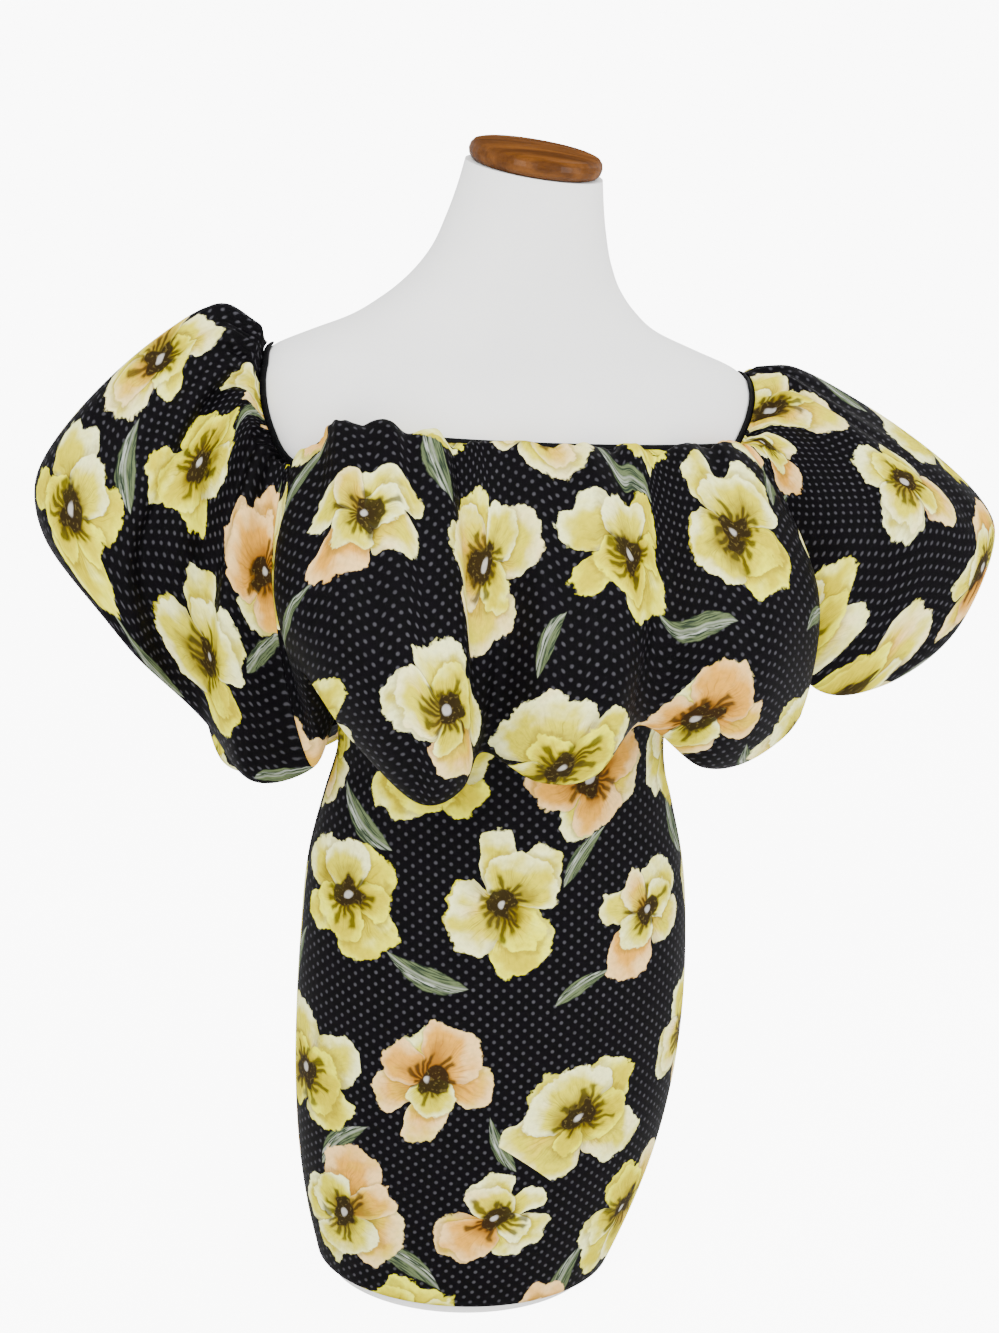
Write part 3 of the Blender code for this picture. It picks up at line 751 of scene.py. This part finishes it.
def noise(place, scale, detail=2.0, roughness=0.5):
    node = place.tree.nodes.new("ShaderNodeTexNoise")
    give(node, Vector=place, Scale=scale, Detail=detail, Roughness=roughness)
    return Value(place.tree, node.outputs[0])


def chance(x, y):
    """Fixed number from 0 to 1 for each pair of whole numbers."""
    node = x.tree.nodes.new("ShaderNodeTexWhiteNoise")
    node.noise_dimensions = "2D"
    give(node, Vector=join_axes(x, y))
    return Value(x.tree, node.outputs[0])


def new_group(name, inputs, outputs):
    tree = bpy.data.node_groups.new(name, "ShaderNodeTree")
    for label, kind in inputs:
        tree.interface.new_socket(label, in_out="INPUT", socket_type=kind)
    for label, kind in outputs:
        tree.interface.new_socket(label, in_out="OUTPUT", socket_type=kind)
    start = tree.nodes.new("NodeGroupInput")
    end = tree.nodes.new("NodeGroupOutput")
    given = [Value(tree, start.outputs[label]) for label, _ in inputs]
    return tree, given, end


# ---- print

REPEAT = 520.0 * MM
# Flowers of one repeat, in mm: place, radius, turn in degrees, and hue, 0 lemon yellow,
# 1 cream and 2 peach
BLOOMS = (
    (62, 448, 70, 10, 0.0),
    (190, 474, 62, 65, 1.5),
    (322, 436, 68, 20, 0.2),
    (452, 480, 64, 80, 1.0),
    (122, 330, 68, 50, 1.1),
    (256, 348, 62, 5, 1.7),
    (392, 326, 70, 95, 0.4),
    (508, 354, 60, 30, 1.6),
    (52, 212, 64, 75, 1.3),
    (184, 226, 72, 25, 0.0),
    (318, 212, 66, 60, 1.8),
    (446, 222, 70, 40, 0.3),
    (112, 98, 70, 15, 0.6),
    (246, 106, 66, 85, 0.1),
    (376, 92, 62, 35, 1.6),
    (500, 98, 68, 70, 0.7),
)
# Leaves of one repeat, in mm and degrees: place, half length, half width and turn
LEAVES = (
    (112, 398, 36, 11, 48),
    (252, 416, 30, 7, 118),
    (188, 296, 38, 11, -28),
    (330, 274, 40, 12, 72),
    (450, 290, 32, 7, 22),
    (8, 272, 32, 7, 98),
    (120, 164, 38, 11, 142),
    (312, 148, 32, 7, 52),
    (430, 156, 38, 12, 112),
    (40, 30, 30, 7, 66),
    (180, 44, 38, 11, 160),
    (314, 36, 30, 7, 28),
)
GROUND = (0.0017, 0.0016, 0.0020)
GROUND_CAST = (0.0020, 0.0016, 0.0025)
DOT_COLOUR = (0.044, 0.043, 0.050)
DOT_PITCH_ACROSS = 12.6 * MM
DOT_PITCH_DOWN = 10.0 * MM
DOT_RADIUS = 1.45 * MM
DOT_BLUR = 0.7 * MM
LEAF_DARK = (0.018, 0.028, 0.018)
LEAF_LIGHT = (0.10, 0.13, 0.06)
LEAF_RIB = (0.30, 0.33, 0.26)
LEAF_GLINT = (0.36, 0.38, 0.35)
# Petals in the three hues: at the base, in the body and at the rim
PETAL_DEEP = ((0.15, 0.105, 0.001), (0.20, 0.15, 0.008), (0.26, 0.10, 0.006))
PETAL_BODY = ((0.54, 0.45, 0.001), (0.62, 0.55, 0.02), (0.66, 0.31, 0.03))
PETAL_EDGE = ((0.80, 0.78, 0.02), (0.88, 0.90, 0.42), (0.86, 0.56, 0.22))
PETAL_SHADOW = (0.17, 0.11, 0.012)
HEART = (0.014, 0.008, 0.003)
HEART_SPECK = (0.12, 0.09, 0.02)
EYE = (0.42, 0.40, 0.36)
STAMENS = 17.0
THREAD_PITCH = 0.9 * MM
RIB_PITCH = 2.2 * MM
Petals = namedtuple("Petals", "mask along across vary")


def nearest_in_repeat(place, rows):
    """Place in the nearest row's own sizes, that row's three facts, and how far off it is."""
    half = (REPEAT / 2, REPEAT / 2, 1.0)
    best = None
    for x, y, length, width, turn, facts in rows:
        local = place.place("SUBTRACT", (x * MM, y * MM, 0.0))
        spin = place.tree.nodes.new("ShaderNodeVectorRotate")
        spin.rotation_type = "Z_AXIS"
        local = local.place("WRAP", half, tuple(-v for v in half))
        give(spin, Angle=-math.radians(turn), Vector=local)
        local = Value(place.tree, spin.outputs[0])
        local = local.place("DIVIDE", (length * MM, width * MM, 1.0))
        away = local.length()
        if best is None:
            best, found, told = away, local, facts
            continue
        closer = away.math("LESS_THAN", best)
        found = blend_place(closer, found, local)
        told = blend_place(closer, told, facts)
        best = best.math("MINIMUM", away)
    return found, told, best


def petal_layer(radius, turned, count, size, shift, seed, wobble):
    """Petals of one ring: mask, share of the way out, share to the side, chance number.

    They are uneven in width and length, with a notch between neighbours.
    """
    sway = (turned + seed * 2.4).math("SINE") * 0.16 + (turned * 2.0 + seed).math("SINE") * 0.10
    spread = turned * (count / (2 * math.pi)) + shift + sway
    which = spread.math("FLOOR")
    aside = (spread - which - 0.5) * 2.0
    lap = which.math("WRAP", float(count), 0.0)
    vary, other = chance(lap, seed), chance(lap, seed + 5.0)
    skew = aside + (other - 0.5) * 0.5 * (1.0 - aside * aside)
    across = skew.math("ABSOLUTE")
    notch = across.math("POWER", 3.0) * (other * 0.40 + 0.32)
    edge = (1.0 - notch) * (vary * 0.34 + size) + wobble
    mask = (edge - radius).step(0.0, 0.03)
    return Petals(mask, radius / edge, across, vary)


def hue_blend(hue, three):
    first = blend_colour(hue.step(0.0, 1.0), three[0], three[1])
    return blend_colour((hue - 1.0).step(0.0, 1.0), first, three[2])


def petal_colour(petals, hue, veins, wash):
    """Golden at the base, clear in the body, pale at the rim, with fine veins."""
    along, across = petals.along, petals.across
    tinted = hue + (petals.vary - 0.5) * 2.0 + (wash - 0.5) * 1.6
    deep = hue_blend(tinted, PETAL_DEEP)
    body = hue_blend(tinted, PETAL_BODY)
    edge = hue_blend(tinted, PETAL_EDGE)
    low = blend_colour((along + (wash - 0.5) * 0.6).step(0.26, 0.66), deep, body)
    rim = (along + across * 0.15 + (wash - 0.5) * 1.1).step(0.70, 1.10)
    colour = blend_colour(rim, low, edge)
    shade = veins * 0.60 * (1.0 - along.step(0.45, 0.95)) + across.step(0.74, 1.0) * 0.55
    return blend_colour(shade, colour, deep)


def dotted_ground(place):
    """Black ground with pale pin dots on a staggered lattice, some fainter than others."""
    half = (DOT_PITCH_ACROSS / 2, DOT_PITCH_DOWN / 2, 1.0)
    back = tuple(-v for v in half)
    first = place.place("WRAP", half, back).length()
    second = place.place("ADD", (half[0], half[1], 0.0)).place("WRAP", half, back).length()
    spot = first.math("MINIMUM", second)
    faded = noise(place, 23.0) * 0.9 + 0.45
    dot = spot.step(DOT_RADIUS + DOT_BLUR, DOT_RADIUS - DOT_BLUR) * faded
    cast = blend_colour(noise(place, 60.0, 1.0).step(0.35, 0.65), GROUND_CAST, GROUND)
    return blend_colour(dot, cast, DOT_COLOUR)


def leaf_layer(place):
    """Mask and colour of bent, pointed leaves with a pale rib and a glint."""
    rows = [(*row, (0.0, float(k), 0.0)) for k, row in enumerate(LEAVES)]
    leaf, told, away = nearest_in_repeat(place, rows)
    along, across, _ = leaf.axes()
    bent = across + (along * along - 0.3) * 0.6
    narrow = (1.0 - along * along) * (1.0 - along * 0.35)
    ragged = (noise(place, 120.0) - 0.5) * 0.4
    mask = (narrow * 0.95 - bent.math("ABSOLUTE") + ragged * narrow).step(0.0, 0.16)
    mask = mask * away.step(1.2, 1.1)
    light = noise(join_axes(along * 1.5, bent * 5.0, told.axes()[1]), 1.6, 3.0)
    colour = blend_colour(light.step(0.35, 0.62), LEAF_DARK, LEAF_LIGHT)
    rib = bent.math("ABSOLUTE").step(0.16, 0.02) * (light * 0.8 + 0.2)
    colour = blend_colour(rib, colour, LEAF_RIB)
    glint = (bent - 0.35).math("ABSOLUTE").step(0.25, 0.05) * light.step(0.42, 0.66)
    return mask, blend_colour(glint, colour, LEAF_GLINT)


def add_heart(petals, place, local, ruffle, seed, lean):
    """Petals with a dark heart, stamens and a pale eye, all a little off the middle."""
    x, y, _ = local.axes()
    ray = y.math("ARCTAN2", x) * (STAMENS / (2 * math.pi)) + ruffle * 6.0
    ray_id = ray.math("FLOOR")
    reach = chance(ray_id.math("WRAP", STAMENS, 0.0), seed) * 0.34 + 0.16
    thin = (ray - ray_id - 0.5).math("ABSOLUTE").step(0.50, 0.14)
    stamens = (reach - local.length()).step(-0.03, 0.04) * thin
    off_centre = join_axes(x - lean * 0.06, y + lean * 0.05).length()
    heart = (0.23 + ruffle * 1.9 - off_centre).step(-0.035, 0.045)
    dark = heart.math("MAXIMUM", stamens * 0.85)
    petals = blend_colour(dark * 0.96, petals, HEART)
    speck = noise(place, 330.0, 2.0).step(0.56, 0.66) * heart
    petals = blend_colour(speck * 0.5, petals, HEART_SPECK)
    off_eye = join_axes(x - lean * 0.03, y - 0.02).length()
    eye = (0.056 + ruffle * 0.3 - off_eye).step(-0.02, 0.02)
    return blend_colour(eye * 0.9, petals, EYE)


def bloom_layer(place):
    """Mask and colour of open flowers: four petals behind three, round a dark heart."""
    rows = [
        (x, y, radius, radius, turn, (hue, float(k), math.sin(k * 2.4)))
        for k, (x, y, radius, turn, hue) in enumerate(BLOOMS)
    ]
    flower, told, _ = nearest_in_repeat(place, rows)
    hue, seed, lean = told.axes()
    elsewhere = place.place("ADD", (3.1, 7.7, 0.0))
    warp = join_axes(noise(place, 30.0) - 0.5, noise(elsewhere, 30.0) - 0.5)
    local = flower.place("ADD", warp.place("MULTIPLY", (0.30, 0.30, 0.0)))
    local = local.place("MULTIPLY", (1.0, 1.14, 1.0))
    x, y, _ = local.axes()
    radius = local.length()
    turned = y.math("ARCTAN2", x)
    ruffle = (noise(place, 62.0, 2.0) - 0.5) * 0.24
    wobble = ruffle + (noise(place, 210.0, 2.0, 0.6) - 0.5) * 0.10
    vein_place = join_axes(turned * 9.0, radius * 1.1, seed)
    veins = noise(vein_place, 2.6, 2.0, 0.6).step(0.48, 0.70)
    wash = noise(place, 34.0, 2.0)
    back = petal_layer(radius, turned, 4, 0.75, 0.18, seed, wobble)
    front = petal_layer(radius, turned, 3, 0.54, 0.66, seed + 9.0, wobble)
    shadow = (1.0 - (front.along - 1.0).step(0.0, 0.16)) * 0.45
    behind = blend_colour(shadow, petal_colour(back, hue, veins, wash), PETAL_SHADOW)
    petals = blend_colour(front.mask, behind, petal_colour(front, hue, veins, wash))
    petals = add_heart(petals, place, local, ruffle, seed, lean)
    return back.mask.math("MAXIMUM", front.mask), petals


def print_group():
    """Print of the cloth: black ground, staggered pin dots, leaves and flowers."""
    tree, (place,), end = new_group(
        "cloth_print",
        [("Flat place", "NodeSocketVector")],
        [("Colour", "NodeSocketColor"), ("Bloom", "NodeSocketFloat")],
    )
    leaf, leaf_colour = leaf_layer(place)
    bloom, petals = bloom_layer(place)
    colour = blend_colour(leaf, dotted_ground(place), leaf_colour)
    give(end, Colour=blend_colour(bloom, colour, petals), Bloom=bloom)
    return tree


def weave_group():
    """Fine twill of the cloth: two crossed waves of threads, with slubs."""
    tree, (place,), end = new_group(
        "fine_weave", [("Flat place", "NodeSocketVector")],
        [("Height", "NodeSocketFloat"), ("Slub", "NodeSocketFloat")],
    )
    x, y, _ = place.axes()
    first = ((x + y) * (2 * math.pi / THREAD_PITCH)).math("SINE")
    second = ((x - y) * (2 * math.pi / THREAD_PITCH)).math("SINE")
    slub = noise(place, 240.0, 3.0)
    give(end, Height=first * second * 0.5 + slub, Slub=slub)
    return tree


# ---- materials

INSIDE = ((0.0018, 0.0018, 0.0022), (0.0036, 0.0035, 0.0042))
ELASTIC = ((0.0014, 0.0014, 0.0018), (0.0040, 0.0039, 0.0048))
FORM = ((0.83, 0.83, 0.82), (0.88, 0.875, 0.86))
FORM_GRAIN = (0.60, 0.60, 0.59)
WOOD = ((0.06, 0.019, 0.002), (0.15, 0.052, 0.008))
WOOD_BAND = (0.035, 0.011, 0.002)
WOOD_PORE = (0.018, 0.006, 0.002)
# Painted shade: the darker colour the wood is given just above its seat on the neck
WOOD_SEAT_SHADE = (0.03, 0.009, 0.002)
FLOOR = ((0.86, 0.86, 0.86), (0.90, 0.90, 0.90))
# Seat of the cap on the tilted neck, and which way is up from it
CAP_SEAT = (0.0, 0.75 * MM, NECK_TOP_HEIGHT)
CAP_UP = (0.069, -0.156, 0.985)


def new_material(name, **constants):
    made = bpy.data.materials.new(name)
    made.use_nodes = True
    shader = made.node_tree.nodes["Principled BSDF"]
    give(shader, **constants)
    return made, made.node_tree, shader


def use_group(group, place):
    node = place.tree.nodes.new("ShaderNodeGroup")
    node.node_tree = group
    give(node, Flat_place=place)
    return {out.name: Value(place.tree, out) for out in node.outputs}


def object_place(tree):
    return Value(tree, tree.nodes.new("ShaderNodeTexCoord").outputs["Object"])


def flat_place(tree):
    node = tree.nodes.new("ShaderNodeUVMap")
    node.uv_map = "flat_cloth"
    return Value(tree, node.outputs[0])


def add_bump(shader, height, strength, distance):
    bump = height.tree.nodes.new("ShaderNodeBump")
    give(bump, Strength=strength, Distance=distance, Height=height)
    height.tree.links.new(bump.outputs["Normal"], shader.inputs["Normal"])


def printed_cloth(pattern, weave):
    made, tree, shader = new_material("printed_cloth", Specular_IOR_Level=0.035)
    place = flat_place(tree)
    printed = use_group(pattern, place)
    woven = use_group(weave, place)
    worn = woven["Slub"].step(0.35, 0.75) * 0.16
    colour = blend_colour(worn, printed["Colour"], GROUND)
    roughness = woven["Slub"] * 0.14 + printed["Bloom"] * 0.05 + 0.56
    give(shader, Base_Color=colour, Roughness=roughness)
    add_bump(shader, woven["Height"], 0.30, 0.12 * MM)
    return made


def cloth_inside(weave):
    made, tree, shader = new_material("cloth_inside", Specular_IOR_Level=0.06)
    woven = use_group(weave, flat_place(tree))
    colour = blend_colour(woven["Slub"].step(0.35, 0.65), *INSIDE)
    give(shader, Base_Color=colour, Roughness=woven["Slub"] * 0.15 + 0.72)
    add_bump(shader, woven["Height"], 0.35, 0.12 * MM)
    return made


def neckline_elastic(weave):
    made, tree, shader = new_material("neckline_elastic", Specular_IOR_Level=0.08)
    place = flat_place(tree)
    woven = use_group(weave, place)
    rib = (place.axes()[0] * (2 * math.pi / RIB_PITCH)).math("SINE") * 0.5 + 0.5
    colour = blend_colour(rib * 0.6 + woven["Slub"] * 0.4, *ELASTIC)
    give(shader, Base_Color=colour, Roughness=woven["Slub"] * 0.12 + 0.66)
    add_bump(shader, rib + woven["Height"] * 0.3, 0.4, 0.25 * MM)
    return made


def form_cover():
    made, tree, shader = new_material(
        "form_cover", Sheen_Weight=0.08, Sheen_Roughness=0.5, Specular_IOR_Level=0.3
    )
    place = object_place(tree)
    cloud = noise(place, 9.0, 4.0)
    grain = noise(place, 900.0, 2.0)
    colour = blend_colour(cloud.step(0.3, 0.7), *FORM)
    colour = blend_colour(grain.step(0.45, 0.8) * 0.12, colour, FORM_GRAIN)
    give(shader, Base_Color=colour, Roughness=cloud * 0.12 + 0.58)
    add_bump(shader, grain + cloud * 0.5, 0.25, 0.2 * MM)
    return made


def varnished_wood():
    """Turned wood: bands of grain stretched along one way, its rim glossier than its top, with
    painted shade just above its seat on the neck.
    """
    made, tree, shader = new_material(
        "varnished_wood", Coat_Roughness=0.20, Specular_IOR_Level=0.0
    )
    place = object_place(tree)
    above_seat = place.place("SUBTRACT", CAP_SEAT).place("DOT_PRODUCT", CAP_UP, output="Value")
    stretched = place.place("MULTIPLY", (14.0, 90.0, 60.0))
    grain = noise(stretched, 1.0, 5.0, 0.6)
    banded = place.place("MULTIPLY", (30.0, 260.0, 120.0)).axes()[1]
    bands = (banded + grain * 9.0).math("SINE")
    pores = noise(place.place("MULTIPLY", (220.0, 2600.0, 2600.0)), 1.0, 2.0).step(0.56, 0.72)
    colour = blend_colour(grain.step(0.32, 0.68), *WOOD)
    colour = blend_colour(bands * 0.16 + 0.16, colour, WOOD_BAND)
    colour = blend_colour(pores * 0.5, colour, WOOD_PORE)
    # Painted shade: the wood is darkened over the lowest 6 mm above its seat on the neck
    colour = blend_colour(above_seat.step(6 * MM, 0.0) * 0.6, colour, WOOD_SEAT_SHADE)
    coat = above_seat.step(17 * MM, 12 * MM) * 0.22 + 0.03
    give(shader, Base_Color=colour, Roughness=grain * 0.15 + 0.30, Coat_Weight=coat)
    add_bump(shader, pores * -0.4 + grain * 0.4, 0.2, 0.2 * MM)
    return made


def studio_floor():
    made, tree, shader = new_material("studio_floor", Emission_Strength=9.0)
    cloud = noise(object_place(tree), 1.5, 2.0)
    colour = blend_colour(cloud, *FLOOR)
    seen = Value(tree, tree.nodes.new("ShaderNodeLightPath").outputs["Is Camera Ray"])
    glow = blend_colour(seen, (0.0, 0.0, 0.0), colour)
    give(shader, Base_Color=colour, Roughness=cloud * 0.1 + 0.8, Emission_Color=glow)
    return made


# ---- studio

CAMERA_DISTANCE = 1.60
CAMERA_HEIGHT = 0.984
CAMERA_AZIMUTH = math.radians(-12.0)
CAMERA_PITCH = math.radians(15.0)
CAMERA_ROLL = math.radians(4.0)
CAMERA_LENS = 53.2
SENSOR_WIDTH = 36.0
FLOOR_COLUMNS = 96
FLOOR_RINGS = (0.4, 1.5, *np.linspace(4.0, 7.0, 28))
FLOOR_RISES_FROM = 4.0
FLOOR_RISE_WIDTH = 6.0
FLOOR_RISE = 8.0
SKY_STRENGTH = 1.7
# Lamps: name, place, what it points at, size in metres and power in watts
LAMPS = (
    ("key", (-1.4, -2.6, 2.4), (0, 0, 0.6), 1.6, 125.0),
    ("fill", (2.2, -2.2, 1.4), (0, 0, 0.5), 2.0, 62.0),
    ("back", (1.8, 1.6, 2.8), (0, 0, 0.7), 1.6, 36.0),
)


def add_camera():
    turn, pitch, roll = CAMERA_AZIMUTH, CAMERA_PITCH, CAMERA_ROLL
    level, away = math.cos(pitch), CAMERA_DISTANCE
    forward = Vector((-math.sin(turn) * level, math.cos(turn) * level, -math.sin(pitch)))
    right = Vector((math.cos(turn), math.sin(turn), 0.0))
    up = right.cross(forward)
    side = right * math.cos(roll) + up * math.sin(roll)
    top = up * math.cos(roll) - right * math.sin(roll)
    lens = bpy.data.cameras.new("studio_camera")
    lens.lens = CAMERA_LENS
    lens.sensor_width = SENSOR_WIDTH
    camera = bpy.data.objects.new("studio_camera", lens)
    spin = Matrix((side, top, -forward)).transposed().to_4x4()
    where = Vector((math.sin(turn) * away, -math.cos(turn) * away, CAMERA_HEIGHT))
    camera.matrix_world = Matrix.Translation(where) @ spin
    bpy.context.scene.collection.objects.link(camera)
    bpy.context.scene.camera = camera


def add_light(name, where, target, size, power):
    lamp = bpy.data.lights.new(name, "AREA")
    lamp.size = size
    lamp.energy = power
    item = bpy.data.objects.new(name, lamp)
    item.location = where
    item.rotation_euler = (Vector(target) - Vector(where)).to_track_quat("-Z", "Y").to_euler()
    bpy.context.scene.collection.objects.link(item)


def add_studio():
    """Pale round floor that rises into a wall, soft lamps and an even sky."""
    columns, rows = FLOOR_COLUMNS, len(FLOOR_RINGS)
    angle = np.linspace(0, 2 * math.pi, columns, endpoint=False)[:, None]
    out = np.array(FLOOR_RINGS)[None, :]
    rise = FLOOR_RISE * smooth_step((out - FLOOR_RISES_FROM) / FLOOR_RISE_WIDTH)
    grid = np.stack(np.broadcast_arrays(out * np.cos(angle), out * np.sin(angle), rise), -1)
    index = np.arange(columns * rows).reshape(columns, rows)
    after = np.roll(index, -1, 0)
    quads = np.stack([index[:, :-1], index[:, 1:], after[:, 1:], after[:, :-1]], -1)
    faces = quads.reshape(-1, 4).tolist() + [index[:, 0].tolist()]
    floor = add_piece("studio_floor", grid.reshape(-1, 3), faces)
    floor.data.materials.append(studio_floor())
    world = bpy.data.worlds.new("studio_sky")
    world.use_nodes = True
    sky = world.node_tree.nodes["Background"]
    give(sky, Color=(1.0, 1.0, 1.0), Strength=SKY_STRENGTH)
    bpy.context.scene.world = world
    for lamp in LAMPS:
        add_light(*lamp)


def main():
    add_camera()
    add_studio()
    weave = weave_group()
    printed = printed_cloth(print_group(), weave)
    inside = cloth_inside(weave)
    surface, neck_angle, neck_height = flounce_surface()
    make_form(form_cover())
    make_panels(neck_angle, neck_height, (printed, inside))
    make_casings(neck_angle, neck_height, neckline_elastic(weave))
    make_flounce(surface, (printed, inside))
    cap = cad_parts["form_neck_cap"]
    cap.material_slots[0].material = varnished_wood()


main()
